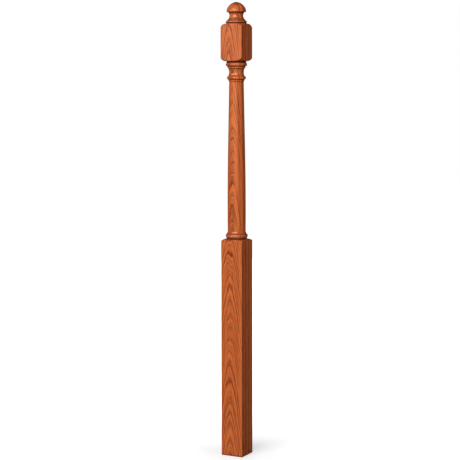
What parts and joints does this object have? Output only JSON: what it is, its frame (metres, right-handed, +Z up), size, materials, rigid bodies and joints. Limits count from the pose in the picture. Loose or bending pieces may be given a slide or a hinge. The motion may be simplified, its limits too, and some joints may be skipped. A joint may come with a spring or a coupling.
{
  "type": "newel post",
  "caption": "Turned wooden newel post for a stair: square foot block, tapered round shaft, ringed collar, square handrail block and mushroom cap.",
  "frame": {"origin": "middle of the flat underside, on the turning axis, at floor level", "axes": "+Z up along the turning axis; the flat sides of the two square blocks face +X, -X, +Y and -Y"},
  "size_m": [0.076, 0.076, 1.4782],
  "materials": {
    "stained_wood": "reddish brown stained open-grained wood under a satin clear lacquer"
  },
  "bodies": {
    "root": {"newel_post": "stained_wood"}
  },
  "joints": []
}
